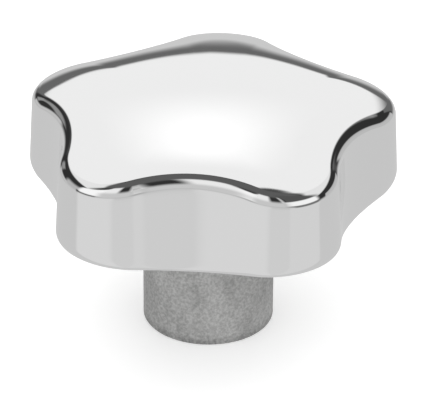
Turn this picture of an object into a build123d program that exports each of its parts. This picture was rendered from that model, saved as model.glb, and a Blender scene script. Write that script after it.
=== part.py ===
from build123d import *
from math import atan2, cos, degrees, hypot, radians, sin, sqrt, tan
import os

# Star knob for a clamping screw: one aluminium casting, a solid five-lobed head on a round hub,
# with a blind hole up the hub for the screw. The head's dome and flank are polished, and the
# hub and underside stay as cast. Millimetres throughout. +Z is the knob's axis and points away
# from the screw. The origin is the centre of the hub's machined face, so the knob stands on
# Z = 0, and one lobe points along +Y.

# Head
lobe_count = 5
head_diameter = 40.0       # across the tip circle, at the flank's lower edge
tip_radius = 6.6           # rounding of a lobe, seen from above
hollow_depth = 4.0         # from the tip circle in to the bottom of a finger hollow
total_height = 26.0        # from the hub's face to the crown of the dome
head_thickness = 13.85     # from the crown to the underside, on the axis
dome_radius = 75.0         # sphere that closes the head above
underside_radius = 75.0    # sphere that closes the head below
draft_angle = 3.0          # degrees: the flank narrows upwards, so that it leaves the mould
top_edge_radius = 1.1      # polished edge between dome and flank
lower_edge_radius = 1.6    # as-cast edge between flank and underside

# Hub
hub_diameter = 13.7
hub_root_radius = 1.5      # filled corner between hub and underside
hub_edge_radius = 0.3      # rounded edge of the machined face

# Blind hole for an M8 screw, at the tapping drill's size
core_diameter = 6.8
drilled_depth = 17.0       # to the end of the full diameter
drill_point_angle = 118.0  # degrees, across the cone that the drill leaves
mouth_diameter = 8.4       # countersink that leads the screw in
mouth_angle = 90.0         # degrees, across the countersink

# Worked out from the sizes above
head_radius = head_diameter / 2
core_radius = core_diameter / 2
mouth_radius = mouth_diameter / 2
lobe_pitch = 360 / lobe_count
underside_height = total_height - head_thickness
underside_rise = underside_radius - sqrt(underside_radius**2 - head_radius**2)


def tangent_point():
    """Polar distance and angle, from a lobe's middle, of the point where tip and hollow meet.

    The tip's arc and the hollow's arc touch directly, so their centres lie the sum of the two
    radii apart. That fixes the hollow's radius, and the point divides the line of centres.
    """
    half_pitch = radians(lobe_pitch / 2)
    tip_centre = head_radius - tip_radius
    hollow_bottom = head_radius - hollow_depth
    across = tip_centre * sin(half_pitch)
    along = hollow_bottom - tip_centre * cos(half_pitch)
    hollow_radius = (across**2 + along**2 - tip_radius**2) / (2 * (tip_radius - along))
    hollow_centre = hollow_bottom + hollow_radius
    share = tip_radius / (tip_radius + hollow_radius)
    x = tip_centre + share * (hollow_centre * cos(half_pitch) - tip_centre)
    y = share * hollow_centre * sin(half_pitch)
    return hypot(x, y), degrees(atan2(y, x))


def polar(distance, angle):
    """Point of the outline at this distance from the axis, with the angle in degrees."""
    return (distance * cos(radians(angle)), distance * sin(radians(angle)))


def star_outline():
    """Face of the star seen from above, at the flank's lower edge."""
    join_distance, join_angle = tangent_point()
    with BuildSketch() as sketch:
        with BuildLine():
            for lobe in range(lobe_count):
                tip_angle = 90 + lobe * lobe_pitch
                tip_start = polar(join_distance, tip_angle - join_angle)
                tip_end = polar(join_distance, tip_angle + join_angle)
                next_tip_start = polar(join_distance, tip_angle + lobe_pitch - join_angle)
                hollow_bottom = polar(head_radius - hollow_depth, tip_angle + lobe_pitch / 2)
                ThreePointArc(tip_start, polar(head_radius, tip_angle), tip_end)
                ThreePointArc(tip_end, hollow_bottom, next_tip_start)
        make_face()
    return sketch.sketch


def crown_sphere(radius, centre_height):
    """Ball on the knob's axis, with its seam turned to the middle of the lobe on +Y."""
    return Pos(0, 0, centre_height) * Rot(0, 0, 90) * Sphere(radius)


def head():
    """Star-shaped prism with draft, closed by a dome above and a shallow sphere below."""
    spread = underside_rise * tan(radians(draft_angle))
    base = Pos(0, 0, underside_height) * offset(star_outline(), amount=spread)
    blank = extrude(base, amount=head_thickness, taper=draft_angle)
    blank &= crown_sphere(dome_radius, total_height - dome_radius)
    blank &= crown_sphere(underside_radius, underside_height + underside_radius)

    flank_edges = blank.faces().filter_by(GeomType.CONE).edges()
    spheres = blank.faces().filter_by(GeomType.SPHERE).sort_by(Axis.Z)
    rim = spheres[-1].edges() & flank_edges
    blank = fillet(rim, top_edge_radius)
    flank_edges = blank.faces().filter_by(GeomType.CONE).edges()
    spheres = blank.faces().filter_by(GeomType.SPHERE).sort_by(Axis.Z)
    return fillet(spheres[0].edges() & flank_edges, lower_edge_radius)


def with_hub(casting):
    """Casting with the round hub grown down from its underside to the machined face."""
    hub = extrude(Circle(hub_diameter / 2), amount=underside_height + head_thickness / 2)
    joined = casting + hub
    root_edges = joined.edges().filter_by(GeomType.CIRCLE).group_by(Axis.Z)[1]
    joined = fillet(root_edges, hub_root_radius)
    face_edge = joined.edges().filter_by(GeomType.CIRCLE).group_by(Axis.Z)[0]
    return fillet(face_edge, hub_edge_radius)


def screw_hole():
    """Solid to cut: countersink, tapping drill and drill point, turned about the axis."""
    mouth_depth = (mouth_radius - core_radius) / tan(radians(mouth_angle / 2))
    point_depth = core_radius / tan(radians(drill_point_angle / 2))
    profile = Polyline(
        (0, 0),
        (mouth_radius, 0),
        (core_radius, mouth_depth),
        (core_radius, drilled_depth),
        (0, drilled_depth + point_depth),
        close=True,
    )
    return revolve(Plane.XZ * make_face(profile), Axis.Z)


os.makedirs("parts", exist_ok=True)
star_knob = with_hub(head()) - screw_hole()
export_step(star_knob, "parts/star_knob.step")
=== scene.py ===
from math import cos, pi, radians, sin, tan

import bpy
import numpy as np
from mathutils import Matrix, Vector


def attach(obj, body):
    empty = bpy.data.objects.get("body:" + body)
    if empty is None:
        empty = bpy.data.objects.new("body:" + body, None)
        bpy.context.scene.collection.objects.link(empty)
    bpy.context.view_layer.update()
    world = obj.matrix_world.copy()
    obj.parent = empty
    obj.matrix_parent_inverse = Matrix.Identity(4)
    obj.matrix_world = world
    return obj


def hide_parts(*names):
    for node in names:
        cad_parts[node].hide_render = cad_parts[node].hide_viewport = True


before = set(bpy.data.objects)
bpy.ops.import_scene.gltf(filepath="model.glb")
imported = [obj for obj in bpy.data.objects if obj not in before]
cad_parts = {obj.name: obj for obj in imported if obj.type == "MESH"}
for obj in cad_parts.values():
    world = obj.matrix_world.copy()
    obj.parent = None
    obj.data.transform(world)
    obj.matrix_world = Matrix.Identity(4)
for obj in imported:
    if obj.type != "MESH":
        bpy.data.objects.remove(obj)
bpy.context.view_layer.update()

MM = 0.001

# The knob's sizes in millimetres, as the solid has them
LOBES = 5
HEAD_RADIUS = 20.0
TIP_RADIUS = 6.6
HOLLOW_DEPTH = 4.0
TOTAL_HEIGHT = 26.0
HEAD_THICKNESS = 13.85
UNDERSIDE_RADIUS = 75.0
DRAFT = radians(3.0)
LOWER_EDGE = 1.6
HUB_RADIUS = 6.85
HUB_ROOT = 1.5
HUB_EDGE = 0.3
CORE_RADIUS = 3.4
MOUTH_RADIUS = 4.2
DRILLED_DEPTH = 17.0
DRILL_POINT = radians(118.0)

# The polished top. The solid has one sphere of 75 mm and a 1.1 mm edge; polishing wheels leave
# the top a little flatter in the middle, ease it off towards the rim, more at the tips than in
# the hollows, and round the edge over
DOME_RADIUS = 87.0
EASE_WIDTH = 4.5
EASE_DROP = 0.2
EASE_MORE_AT_TIPS = 0.07
TOP_EDGE = 1.5

# The thread that is cut into the core: M8, coarse
THREAD_RADIUS = 4.0
THREAD_PITCH = 1.25
THREAD_DEPTH = 15.0
THREAD_ANGLE = radians(60.0)
LEAD_PITCHES = 1.5

# Rings of points along each part of the profile, both ends counted
DOME_RINGS, TOP_EDGE_RINGS, FLANK_RINGS, LOWER_EDGE_RINGS = 50, 22, 10, 18
UNDERSIDE_RINGS, ROOT_RINGS, HUB_RINGS, HUB_EDGE_RINGS = 20, 10, 24, 6
FACE_RINGS, THREAD_RINGS, DRILL_RINGS, CONE_RINGS = 8, 170, 5, 8

UNDERSIDE_HEIGHT = TOTAL_HEIGHT - HEAD_THICKNESS
DOME_CENTRE = np.array([0, 0, TOTAL_HEIGHT - DOME_RADIUS])
UNDERSIDE_CENTRE = np.array([0, 0, UNDERSIDE_HEIGHT + UNDERSIDE_RADIUS])
EDGE_LEVEL = UNDERSIDE_CENTRE[2] - np.sqrt(UNDERSIDE_RADIUS**2 - HEAD_RADIUS**2)


def star_outline(tip_steps=28, hollow_steps=20):
    """Outline of the head seen from above, and its outward normals, at the flank's lower edge.

    For each lobe: an arc of the tip's radius about a centre on the lobe's middle line, then an
    arc of the hollow's radius about a centre outside. The two centres lie the sum of the radii
    apart, so the arcs touch with one tangent. The first lobe points along +Y.
    """
    half = pi / LOBES
    tip_centre = HEAD_RADIUS - TIP_RADIUS
    bottom = HEAD_RADIUS - HOLLOW_DEPTH
    across = tip_centre * sin(half)
    along = bottom - tip_centre * cos(half)
    hollow_radius = (across**2 + along**2 - TIP_RADIUS**2) / (2 * (TIP_RADIUS - along))
    hollow_centre = bottom + hollow_radius
    turn = np.arctan2(hollow_centre * sin(half), hollow_centre * cos(half) - tip_centre)

    tip_angle = np.linspace(-turn, turn, tip_steps, endpoint=False)
    tip = tip_centre + TIP_RADIUS * np.exp(1j * tip_angle)
    hollow_angle = np.linspace(turn, 2 * half - turn, hollow_steps, endpoint=False)
    hollow = hollow_centre * np.exp(1j * half) - hollow_radius * np.exp(1j * hollow_angle)
    lobe = np.concatenate([tip, hollow])
    normal = np.exp(1j * np.concatenate([tip_angle, hollow_angle]))

    turns = np.exp(1j * (pi / 2 + 2 * half * np.arange(LOBES)))[:, None]
    return (turns * lobe).ravel(), (turns * normal).ravel()


def in_space(flat, height):
    """Points of the plan, as complex numbers, with their heights."""
    flat, height = np.broadcast_arrays(flat, height)
    return np.stack([flat.real, flat.imag, height], axis=-1)


def unit(vectors):
    """The same directions with length one."""
    return vectors / np.linalg.norm(vectors, axis=-1, keepdims=True)


def flank_inset(height, radius):
    """How far inside the outline the centre of a ball lies that touches the leaning flank."""
    return (height - EDGE_LEVEL) * tan(DRAFT) + radius / cos(DRAFT)


def rim_drop(outline):
    """How far the rim is eased down: by a cosine, most at the tips and least in the hollows."""
    return EASE_DROP + EASE_MORE_AT_TIPS * np.cos(LOBES * (np.angle(outline) - pi / 2))


def upper_track(outline, normal, rounds=16):
    """Centres of the ball that rolls round under the top edge, and its directions to the top.

    At the rim the top slopes as its sphere does there, plus the slope of the easing, straight
    outwards. Where the ball touches the top, and how high its centre lies, depend on each
    other, so they are worked out in turn until they settle.
    """
    contact = outline - TOP_EDGE * normal
    for _ in range(rounds):
        rise = np.sqrt(DOME_RADIUS**2 - np.abs(contact) ** 2)
        slope = contact / rise + 3 * rim_drop(outline) / EASE_WIDTH * normal
        over = unit(in_space(slope, 1.0))
        height = DOME_CENTRE[2] + rise - rim_drop(outline) - TOP_EDGE * over[:, 2]
        centre = outline - flank_inset(height, TOP_EDGE) * normal
        contact = centre + TOP_EDGE * (over[:, 0] + 1j * over[:, 1])
    return in_space(centre, height), over


def lower_track(outline, normal, rounds=12):
    """Centres of the ball that rolls round over the lower edge, and its directions down.

    The ball stays its own radius inside the leaning flank and inside the underside's sphere,
    worked out in turn as for the top edge.
    """
    reach = UNDERSIDE_RADIUS - LOWER_EDGE
    height = np.full(outline.shape, EDGE_LEVEL + LOWER_EDGE)
    for _ in range(rounds):
        flat = outline - flank_inset(height, LOWER_EDGE) * normal
        height = UNDERSIDE_CENTRE[2] - np.sqrt(reach**2 - np.abs(flat) ** 2)
    track = in_space(flat, height)
    return track, unit(track - UNDERSIDE_CENTRE)


def swing(first, last, steps):
    """Unit vectors that turn evenly from one direction to another, both ends included.

    Each is the first direction weighted by the sine of the angle still to go, plus the last
    weighted by the sine of the angle gone, over the sine of the whole angle.
    """
    angle = np.arccos(np.clip(np.sum(first * last, axis=-1), -1, 1))[..., None]
    share = np.linspace(0, 1, steps)[:, None, None]
    return (np.sin((1 - share) * angle) * first + np.sin(share * angle) * last) / np.sin(angle)


def thread_radius(height, angle):
    """Radius of the hole's wall where the thread is cut.

    A 60 degree groove climbs one pitch for each turn, between the core and the thread's outer
    radius, where its bottom is flat for an eighth of a pitch. The tap's lead tapers it away over
    the last pitch and a half, and the countersink's cone, which narrows as fast as it rises, is
    cut over its first turn.
    """
    flank = 1 / tan(THREAD_ANGLE / 2)
    off_groove = np.abs((height / THREAD_PITCH - angle / (2 * pi) + 0.5) % 1 - 0.5) * THREAD_PITCH
    groove = THREAD_RADIUS - flank * (off_groove - THREAD_PITCH / 16)
    lead = np.clip((THREAD_DEPTH - height) / (LEAD_PITCHES * THREAD_PITCH), 0, 1)
    depth = np.clip(groove, CORE_RADIUS, THREAD_RADIUS) - CORE_RADIUS
    return np.maximum(CORE_RADIUS + depth * lead, MOUTH_RADIUS - height)


def knob_rows():
    """Rings of points from the crown to the bottom of the hole, each with its finish.

    Crown to rim: the dome's sphere, lowered near the rim by the cube of how far each point has
    come into the eased strip, with its rings set by a sine so that they lie closer together
    towards the rim. Then the ball's arc over the top edge, the straight flank, the arc under
    the lower edge, the underside's sphere, and figures of revolution: the hub's root, its side,
    its edge and face, the threaded hole, and the drill's cone. The finishes are numbered in the
    order in which the mesh gets its materials: polished, as cast, machined.
    """
    outline, normal = star_outline()
    wall = np.stack([normal.real * cos(DRAFT), normal.imag * cos(DRAFT),
                     np.full(normal.shape, sin(DRAFT))], axis=-1)
    top, over = upper_track(outline, normal)
    low, under = lower_track(outline, normal)

    def sphere_rows(flat, centre, radius, side):
        """Points over a plan, on the upper half (side 1) or lower half (side -1) of a sphere."""
        return in_space(flat, centre[2] + side * np.sqrt(radius**2 - np.abs(flat) ** 2))

    rim = top + TOP_EDGE * over
    rim_flat = rim[:, 0] + 1j * rim[:, 1]
    share = np.sin(np.linspace(0, pi / 2, DOME_RINGS))[1:-1, None]
    dome = sphere_rows(share * rim_flat, DOME_CENTRE, DOME_RADIUS, 1)
    off_rim = (1 - share) * (rim_flat * normal.conj()).real
    dome[..., 2] -= rim_drop(outline) * np.clip(1 - off_rim / EASE_WIDTH, 0, 1) ** 3
    top_edge = top + TOP_EDGE * swing(over, wall, TOP_EDGE_RINGS)
    flank_top, flank_low = top + TOP_EDGE * wall, low + LOWER_EDGE * wall
    share = np.linspace(0, 1, FLANK_RINGS)[1:-1, None, None]
    flank = flank_top + share * (flank_low - flank_top)
    lower_edge = low + LOWER_EDGE * swing(wall, under, LOWER_EDGE_RINGS)

    contact = low + LOWER_EDGE * under
    contact_flat = contact[:, 0] + 1j * contact[:, 1]
    spoke = contact_flat / np.abs(contact_flat)
    angle = np.angle(spoke)
    root_reach = HUB_RADIUS + HUB_ROOT
    root_height = UNDERSIDE_CENTRE[2] - np.sqrt((UNDERSIDE_RADIUS + HUB_ROOT) ** 2 - root_reach**2)
    root = in_space(root_reach * spoke, root_height)
    out = in_space(spoke, 0.0)
    down = np.broadcast_to([0.0, 0.0, -1.0], out.shape)
    root_arc = root - HUB_ROOT * swing(unit(root - UNDERSIDE_CENTRE), out, ROOT_RINGS)
    foot_flat = root_arc[0, :, 0] + 1j * root_arc[0, :, 1]
    share = np.linspace(0, 1, UNDERSIDE_RINGS)[1:-1, None]
    underside = sphere_rows(contact_flat + share * (foot_flat - contact_flat),
                            UNDERSIDE_CENTRE, UNDERSIDE_RADIUS, -1)

    def turned(radius, height):
        """Rings of a figure of revolution about the knob's axis."""
        radius, height = np.atleast_1d(radius)[:, None], np.atleast_1d(height)[:, None]
        return in_space(radius * spoke, height)

    hub = turned(HUB_RADIUS, np.linspace(root_height, HUB_EDGE, HUB_RINGS)[1:-1])
    edge_track = in_space((HUB_RADIUS - HUB_EDGE) * spoke, HUB_EDGE)
    hub_edge = edge_track + HUB_EDGE * swing(out, down, HUB_EDGE_RINGS)
    face = turned(np.linspace(HUB_RADIUS - HUB_EDGE, MOUTH_RADIUS, FACE_RINGS)[1:], 0.0)
    heights = np.linspace(0, THREAD_DEPTH, THREAD_RINGS)[1:, None]
    thread = in_space(thread_radius(heights, angle) * spoke, heights)
    drill = turned(CORE_RADIUS, np.linspace(THREAD_DEPTH, DRILLED_DEPTH, DRILL_RINGS)[1:])
    cone_radius = np.linspace(CORE_RADIUS, 0, CONE_RINGS)[1:-1]
    cone = turned(cone_radius, DRILLED_DEPTH + (CORE_RADIUS - cone_radius) / tan(DRILL_POINT / 2))

    polished = [dome, top_edge, flank, lower_edge]
    cast = [underside, root_arc, hub, hub_edge]
    machined = [face, thread, drill, cone]
    rows = np.concatenate(polished + cast + machined)
    finish = np.repeat([0, 1, 2], [sum(map(len, part)) for part in (polished, cast, machined)])
    return rows, finish


def closed_skin(name, rows, finish, crown, tip):
    """Mesh of the rings, joined all round and closed by a fan at each pole."""
    ring_count, width = rows.shape[:2]
    points = np.concatenate([rows.reshape(-1, 3), [crown], [tip]]) * MM
    ring = np.arange(ring_count - 1)[:, None] * width
    here = np.arange(width)[None, :]
    beside = (here + 1) % width
    quads = np.stack([ring + here, ring + width + here, ring + width + beside, ring + beside],
                     axis=-1).reshape(-1, 4)
    last = (ring_count - 1) * width
    crown_fan = np.stack([np.full(width, ring_count * width), here[0], beside[0]], axis=-1)
    tip_fan = np.stack([np.full(width, ring_count * width + 1), last + beside[0],
                        last + here[0]], axis=-1)
    mesh = bpy.data.meshes.new(name)
    mesh.from_pydata(points.tolist(), [], quads.tolist() + crown_fan.tolist() + tip_fan.tolist())
    finishes = np.concatenate([np.repeat(finish[1:], width), np.full(width, finish[0]),
                               np.full(width, finish[-1])])
    mesh.polygons.foreach_set("material_index", finishes.astype(np.int32))
    mesh.shade_smooth()
    mesh.update()
    skin = bpy.data.objects.new(name, mesh)
    bpy.context.scene.collection.objects.link(skin)
    return skin


rows, finish = knob_rows()
crown = (0, 0, TOTAL_HEIGHT)
drill_tip = (0, 0, DRILLED_DEPTH + CORE_RADIUS / tan(DRILL_POINT / 2))
knob = closed_skin("star_knob_skin", rows, finish, crown, drill_tip)
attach(knob, "root")
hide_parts("star_knob")

# The camera, with lengths in millimetres: a long lens, a third of the way up from the table to
# overhead
CAMERA_DISTANCE = 339.0
CAMERA_ELEVATION = radians(31.395)
CAMERA_TURN = radians(5.508)
CAMERA_ROLL = radians(0.423)
AIM_RIGHT = 0.583
AIM_HEIGHT = 13.563
LENS = 268.03
SENSOR_WIDTH = 36.0


def place_camera():
    """Camera at its distance from the foot of the knob, turned a little from the lobe on +Y."""
    turn = Matrix.Rotation(CAMERA_TURN, 3, "Z")
    place = turn @ Vector((0, -cos(CAMERA_ELEVATION), sin(CAMERA_ELEVATION))) * CAMERA_DISTANCE
    aim = turn @ Vector((AIM_RIGHT, 0, AIM_HEIGHT))
    data = bpy.data.cameras.new("camera")
    data.lens = LENS
    data.sensor_width = SENSOR_WIDTH
    data.sensor_fit = "HORIZONTAL"
    data.clip_start = 0.01
    camera = bpy.data.objects.new("camera", data)
    look = (aim - place).to_track_quat("-Z", "Y").to_matrix()
    look = look @ Matrix.Rotation(CAMERA_ROLL, 3, "Z")
    camera.matrix_world = Matrix.Translation(place * MM) @ look.to_4x4()
    bpy.context.scene.collection.objects.link(camera)
    bpy.context.scene.camera = camera


place_camera()


def linear(colour):
    """Linear RGBA of an sRGB hex colour: a straight foot, then the power 2.4."""
    channels = np.array([int(colour[k:k + 2], 16) for k in (1, 3, 5)]) / 255
    above = ((channels + 0.055) / 1.055) ** 2.4
    return (*np.where(channels <= 0.04045, channels / 12.92, above), 1.0)


def add_node(tree, kind, inputs=None, **settings):
    """A node of the given kind, with its settings, and each input set to a value or linked.

    An input that is given as a whole node is linked from that node's first output.
    """
    node = tree.nodes.new(kind)
    for name, value in settings.items():
        setattr(node, name, value)
    for key, value in (inputs or {}).items():
        if isinstance(value, bpy.types.Node):
            value = value.outputs[0]
        if isinstance(value, bpy.types.NodeSocket):
            tree.links.new(value, node.inputs[key])
        else:
            node.inputs[key].default_value = value
    return node


def cleared_tree(owner):
    """The node tree of a material or a world, switched on and emptied."""
    owner.use_nodes = True
    owner.node_tree.nodes.clear()
    return owner.node_tree


def new_metal(name):
    """A material with nothing but a metallic Principled shader; its tree and shader come too."""
    material = bpy.data.materials.new(name)
    tree = cleared_tree(material)
    shader = add_node(tree, "ShaderNodeBsdfPrincipled", {"Metallic": 1.0})
    add_node(tree, "ShaderNodeOutputMaterial", {"Surface": shader})
    return material, tree, shader


def polished_aluminium():
    """Cast aluminium, belt-ground and buffed: a nearly clear mirror.

    Buffing leaves a slow waviness a few millimetres long, and a haze that comes and goes.
    """
    haze_size, wave_length, wave_height = 5 * MM, 4 * MM, 0.004 * MM
    material, tree, shader = new_metal("polished_aluminium")
    shader.inputs["Base Color"].default_value = linear("#F6F6F6")
    place = add_node(tree, "ShaderNodeTexCoord").outputs["Object"]
    haze = add_node(tree, "ShaderNodeTexNoise",
                    {"Vector": place, "Scale": 1 / haze_size, "Detail": 3.0})
    gloss = add_node(tree, "ShaderNodeMapRange",
                     {"Value": haze, "From Min": 0.3, "From Max": 0.7,
                      "To Min": 0.02, "To Max": 0.05})
    tree.links.new(gloss.outputs[0], shader.inputs["Roughness"])
    wave = add_node(tree, "ShaderNodeTexNoise",
                    {"Vector": place, "Scale": 1 / wave_length, "Detail": 1.0})
    bump = add_node(tree, "ShaderNodeBump",
                    {"Height": wave, "Strength": 1.0, "Distance": wave_height})
    tree.links.new(bump.outputs[0], shader.inputs["Normal"])
    return material


def blasted_aluminium():
    """The hub and the underside as cast and shot-blasted: matt grey with a fine pitted grain.

    Soft streaks run down the hub as the casting left them, and its lower rim is darker: painted
    shade, where the hub stands on the table. The tone is a base, plus a share each for the grain,
    for the streaks and for the height over the rim, which paints that shade, and runs between a
    dark and a pale grey.
    """
    # Shot leaves pits a tenth of a millimetre or so wide, too fine to show, so the grain is drawn
    # three times as coarse
    grain_size, pit_depth, streak_width, foot_shade_height = 0.3 * MM, 0.05 * MM, 2.5 * MM, 1.3 * MM
    material, tree, shader = new_metal("blasted_cast_aluminium")
    place = add_node(tree, "ShaderNodeTexCoord").outputs["Object"]
    grain = add_node(tree, "ShaderNodeTexNoise",
                     {"Vector": place, "Scale": 1 / grain_size, "Detail": 4.0,
                      "Roughness": 0.65})
    drawn_out = add_node(tree, "ShaderNodeMapping", {"Vector": place, "Scale": (1, 1, 0.45)})
    streaks = add_node(tree, "ShaderNodeTexNoise",
                       {"Vector": drawn_out, "Scale": 1 / streak_width, "Detail": 1.0})
    height = add_node(tree, "ShaderNodeSeparateXYZ", {0: place}).outputs["Z"]
    tone_and_shade = 0.1
    # The share for the height paints shade on the hub's lowest 1.3 mm, darkest where it stands on
    # the table
    for value, low, high, weight in ((grain, 0.3, 0.7, 0.33), (streaks, 0.3, 0.7, 0.17),
                                     (height, 0.0, foot_shade_height, 0.25)):
        share = add_node(tree, "ShaderNodeMapRange",
                         {"Value": value, "From Min": low, "From Max": high,
                          "To Max": weight}, interpolation_type="SMOOTHSTEP")
        tone_and_shade = add_node(tree, "ShaderNodeMath", {0: share, 1: tone_and_shade})
    shade = add_node(tree, "ShaderNodeMix", {"Factor": tone_and_shade}, data_type="RGBA")
    # RGBA sockets share their names with the other kinds, so they are set by place
    shade.inputs[6].default_value = linear("#6F6F6E")
    shade.inputs[7].default_value = linear("#EEEEED")
    tree.links.new(shade.outputs[2], shader.inputs["Base Color"])
    shader.inputs["Roughness"].default_value = 0.62
    bump = add_node(tree, "ShaderNodeBump",
                    {"Height": grain, "Strength": 1.0, "Distance": pit_depth})
    tree.links.new(bump.outputs[0], shader.inputs["Normal"])
    return material


def machined_aluminium():
    """The hub's faced end and its hole as turned and tapped: bright, with shallow turning rings.

    A turning tool's rings are a fraction of a millimetre apart, too fine to show, so they are
    drawn 1.26 mm apart: the texture makes 20 radians of wave for each unit, so one ring takes
    2 pi times the 0.2 mm below.
    """
    ring_radian, ring_height = 0.2 * MM, 0.01 * MM
    material, tree, shader = new_metal("machined_aluminium")
    shader.inputs["Base Color"].default_value = linear("#E4E4E4")
    shader.inputs["Roughness"].default_value = 0.28
    place = add_node(tree, "ShaderNodeTexCoord").outputs["Object"]
    rings = add_node(tree, "ShaderNodeTexWave",
                     {"Vector": place, "Scale": 1 / ring_radian / 20, "Distortion": 0.3},
                     wave_type="RINGS", rings_direction="Z")
    bump = add_node(tree, "ShaderNodeBump",
                    {"Height": rings.outputs["Fac"], "Strength": 1.0, "Distance": ring_height})
    tree.links.new(bump.outputs[0], shader.inputs["Normal"])
    return material


for finish_material in (polished_aluminium(), blasted_aluminium(), machined_aluminium()):
    knob.data.materials.append(finish_material)

# The studio round the knob. Azimuth is in degrees from straight away from the camera, turning
# to the right, and elevation is in degrees above the table: the middle and half width in
# azimuth, the lower and upper edge, how soft the sides and the upper and lower edges are, and
# how bright it is, where 1 is white. Each one lies over those before it. A panel stands upright
# and faces the knob, so its level edges sink away to both sides. A softbox may also widen
# upwards, its upper or lower edge may tilt, and its lower edge may sag in the middle and rise
# to both sides, in degrees for each degree. A half width over 180 goes all round
STUDIO = [
    ("ceiling", 0, 200, 64, 100, 1, 18, 0.11, {}),
    ("right_upper_wall", 128.5, 29, 13.5, 80, 2.5, 13, 0.09, {}),
    ("dark_back_wall", 6, 35, -12, 24.5, 6, 1, 0.14, {}),
    ("left_side_wall", -44.5, 5.5, 6, 24, 5, 5, 0.29, {}),
    ("grey_left_wall", -90, 19.5, -30, 20, 10, 16, 0.48, {}),
    ("left_skirting", -58, 15.5, -8, 3, 5, 8, 0.55, {}),
    ("right_skirting", 66, 22, -8, 8.5, 3, 7, 0.5, {}),
    ("table", 0, 200, -100, -5.5, 1, 16.5, 0.6, {}),
    ("pale_skirting", 0, 19, -30, 7.5, 7.5, 7, 0.62, {}),
    ("left_table_gap", -116.5, 19, -20, 3.5, 5, 9, 0, {}),
    ("right_table_gap", 124.5, 23.5, -16, -5.5, 10, 9, 0.07, {}),
    ("left_table_glow", -133, 36, -100, -8.5, 9, 12, 0.71, {}),
    ("front_table", 173, 22, -100, -21.5, 15.5, 2.5, 0.65, {}),
    ("right_table_glow", 128, 29.5, -100, -11.5, 5, 11, 0.68, {}),
    ("left_wing_softbox", -68.5, 43, 43.5, 71.5, 19.5, 5, 0.83, dict(panel=True)),
    ("right_wing_softbox", 54, 46, 35.5, 66, 17, 6.5, 0.82, dict(panel=True, foot_tilt=-0.04)),
    ("left_front_softbox", -129, 26.5, -0.5, 47.5, 9, 10, 1, dict(top_tilt=-0.6)),
    ("right_front_softbox", 133.5, 29.5, 2, 34.5, 9, 9, 0.96, dict(panel=True)),
    ("upper_front_softbox", -157, 14, 2, 66, 10, 11, 0.88, {}),
    ("lower_front_card", -171, 31.5, -10, 30.5, 20.5, 23, 0.6, {}),
    ("front_strip", 165, 1.5, 27, 65.5, 10, 9, 0.85, {}),
    ("back_softbox", 0, 32.1, 12.7, 63.4, 7.8, 1.7, 0.91,
     dict(widening=0.64, foot_tilt=-0.11, foot_sag=0.24)),
    ("back_softbox_lamp", -0.5, 6.5, 32, 47, 12, 14, 1.14, {}),
]
# What is left between the softboxes and walls: the dark of the room
SIDE_DARK = 0.03

# The table: how far it reaches each way from the knob's axis, in metres, how little it lies
# below the hub's face, so that the two don't share one plane, and how much it glows
TABLE_REACH = 3.0
TABLE_DROP = 0.02 * MM
TABLE_GLOW = 0.39

# The light tent, in metres and watts
TENT_WIDTH = 1.2
TENT_HEIGHT = 0.3
TENT_POWER = 4.0


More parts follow.
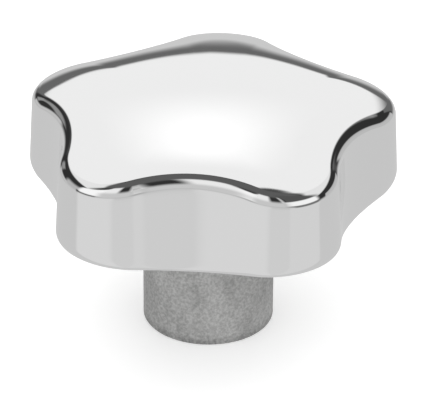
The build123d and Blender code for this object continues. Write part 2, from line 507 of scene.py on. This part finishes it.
def studio_world():
    """World of softboxes and dark walls by direction; the camera itself sees plain white.

    Each patch covers what lies under it by the product of three smooth steps: how far the
    direction is inside its sides, above its lower edge, and below its upper edge.
    """
    world = bpy.data.worlds.new("studio")
    bpy.context.scene.world = world
    tree = cleared_tree(world)
    direction = add_node(tree, "ShaderNodeTexCoord").outputs["Generated"]
    turned = add_node(tree, "ShaderNodeMapping",
                      {"Vector": direction, "Rotation": (0, 0, -CAMERA_TURN)})
    right, away, up = add_node(tree, "ShaderNodeSeparateXYZ", {0: turned}).outputs
    bearing = add_node(tree, "ShaderNodeMath", {0: right, 1: away}, operation="ARCTAN2")
    azimuth = add_node(tree, "ShaderNodeMath", {0: bearing}, operation="DEGREES")
    lift = add_node(tree, "ShaderNodeMath", {0: up}, operation="ARCSINE")
    elevation = add_node(tree, "ShaderNodeMath", {0: lift}, operation="DEGREES")
    level = add_node(tree, "ShaderNodeMath", {0: lift}, operation="COSINE")
    light = SIDE_DARK
    for name, middle, half, low, high, side, ends, bright, form in STUDIO:
        widening, foot_tilt, foot_sag, top_tilt = (
            form.get(key, 0.0) for key in ("widening", "foot_tilt", "foot_sag", "top_tilt"))
        apart = add_node(tree, "ShaderNodeMath", {0: azimuth, 1: middle}, operation="SUBTRACT")
        off = add_node(tree, "ShaderNodeMath", {0: apart, 1: 180.0, 2: -180.0},
                       operation="WRAP")
        beside = add_node(tree, "ShaderNodeMath", {0: off}, operation="ABSOLUTE")
        climb = elevation
        if form.get("panel"):
            swung = add_node(tree, "ShaderNodeMath", {0: off}, operation="RADIANS")
            facing = add_node(tree, "ShaderNodeMath", {0: swung}, operation="COSINE")
            forward = add_node(tree, "ShaderNodeMath", {0: level, 1: facing},
                               operation="MULTIPLY")
            slope = add_node(tree, "ShaderNodeMath", {0: up, 1: forward}, operation="ARCTAN2")
            climb = add_node(tree, "ShaderNodeMath", {0: slope}, operation="DEGREES")
        flank = add_node(tree, "ShaderNodeMath", {0: climb, 1: -widening, 2: beside},
                         operation="MULTIPLY_ADD")
        foot = add_node(tree, "ShaderNodeMath", {0: off, 1: -foot_tilt, 2: climb},
                        operation="MULTIPLY_ADD")
        foot = add_node(tree, "ShaderNodeMath", {0: beside, 1: -foot_sag, 2: foot},
                        operation="MULTIPLY_ADD")
        top = add_node(tree, "ShaderNodeMath", {0: off, 1: -top_tilt, 2: climb},
                       operation="MULTIPLY_ADD")
        mask = 1.0
        for value, edge, width in ((flank, half - widening * (low + high) / 2, -side),
                                   (foot, low, ends), (top, high, -ends)):
            # A negative width turns the step round: from 1 down to 0
            step = add_node(tree, "ShaderNodeMapRange",
                            {"Value": value, "From Min": edge - width / 2,
                             "From Max": edge + width / 2}, interpolation_type="SMOOTHSTEP")
            mask = add_node(tree, "ShaderNodeMath", {0: mask, 1: step}, operation="MULTIPLY")
        light = add_node(tree, "ShaderNodeMix", {"Factor": mask, "A": light, "B": bright},
                         label=name)
    path = add_node(tree, "ShaderNodeLightPath").outputs
    seen = add_node(tree, "ShaderNodeMix",
                    {"Factor": path["Is Camera Ray"], "A": light, "B": 1.0})
    glow = add_node(tree, "ShaderNodeBackground", {"Color": (1, 1, 1, 1), "Strength": seen})
    add_node(tree, "ShaderNodeOutputWorld", {"Surface": glow})


def pale_table():
    """A plain white table top: matt, and bright enough for the camera that it reads as white.

    Polished metal looks past it to the studio's own pale table, whose light and dark parts
    lie by direction.
    """
    corners = np.array([[-1, -1, 0], [1, -1, 0], [1, 1, 0], [-1, 1, 0]]) * TABLE_REACH
    corners[:, 2] = -TABLE_DROP
    mesh = bpy.data.meshes.new("table_floor")
    mesh.from_pydata(corners.tolist(), [], [[0, 1, 2, 3]])
    table = bpy.data.objects.new("table_floor", mesh)
    bpy.context.scene.collection.objects.link(table)
    material = bpy.data.materials.new("matt_white_board")
    tree = cleared_tree(material)
    path = add_node(tree, "ShaderNodeLightPath").outputs
    glow = add_node(tree, "ShaderNodeMix",
                    {"Factor": path["Is Camera Ray"], "A": 0.0, "B": TABLE_GLOW})
    matt = add_node(tree, "ShaderNodeBsdfDiffuse", {"Color": linear("#E6E6E6")})
    light = add_node(tree, "ShaderNodeEmission", {"Color": (1, 1, 1, 1), "Strength": glow})
    both = add_node(tree, "ShaderNodeAddShader", {0: matt, 1: light})
    clear = add_node(tree, "ShaderNodeBsdfTransparent")
    surface = add_node(tree, "ShaderNodeMixShader",
                       {0: path["Is Glossy Ray"], 1: both, 2: clear})
    add_node(tree, "ShaderNodeOutputMaterial", {"Surface": surface})
    mesh.materials.append(material)


def light_tent():
    """A wide white sheet over the table, lit evenly, that lights the table and no metal.

    It is so wide that the shadow under the head stays close round the hub's foot.
    """
    lamp = bpy.data.lights.new("light_tent", "AREA")
    lamp.size = TENT_WIDTH
    lamp.energy = TENT_POWER
    tent = bpy.data.objects.new("light_tent", lamp)
    tent.location = (0, 0, TENT_HEIGHT)
    tent.visible_camera = False
    tent.visible_glossy = False
    bpy.context.scene.collection.objects.link(tent)


studio_world()
pale_table()
light_tent()
bpy.context.scene.view_settings.view_transform = "Standard"
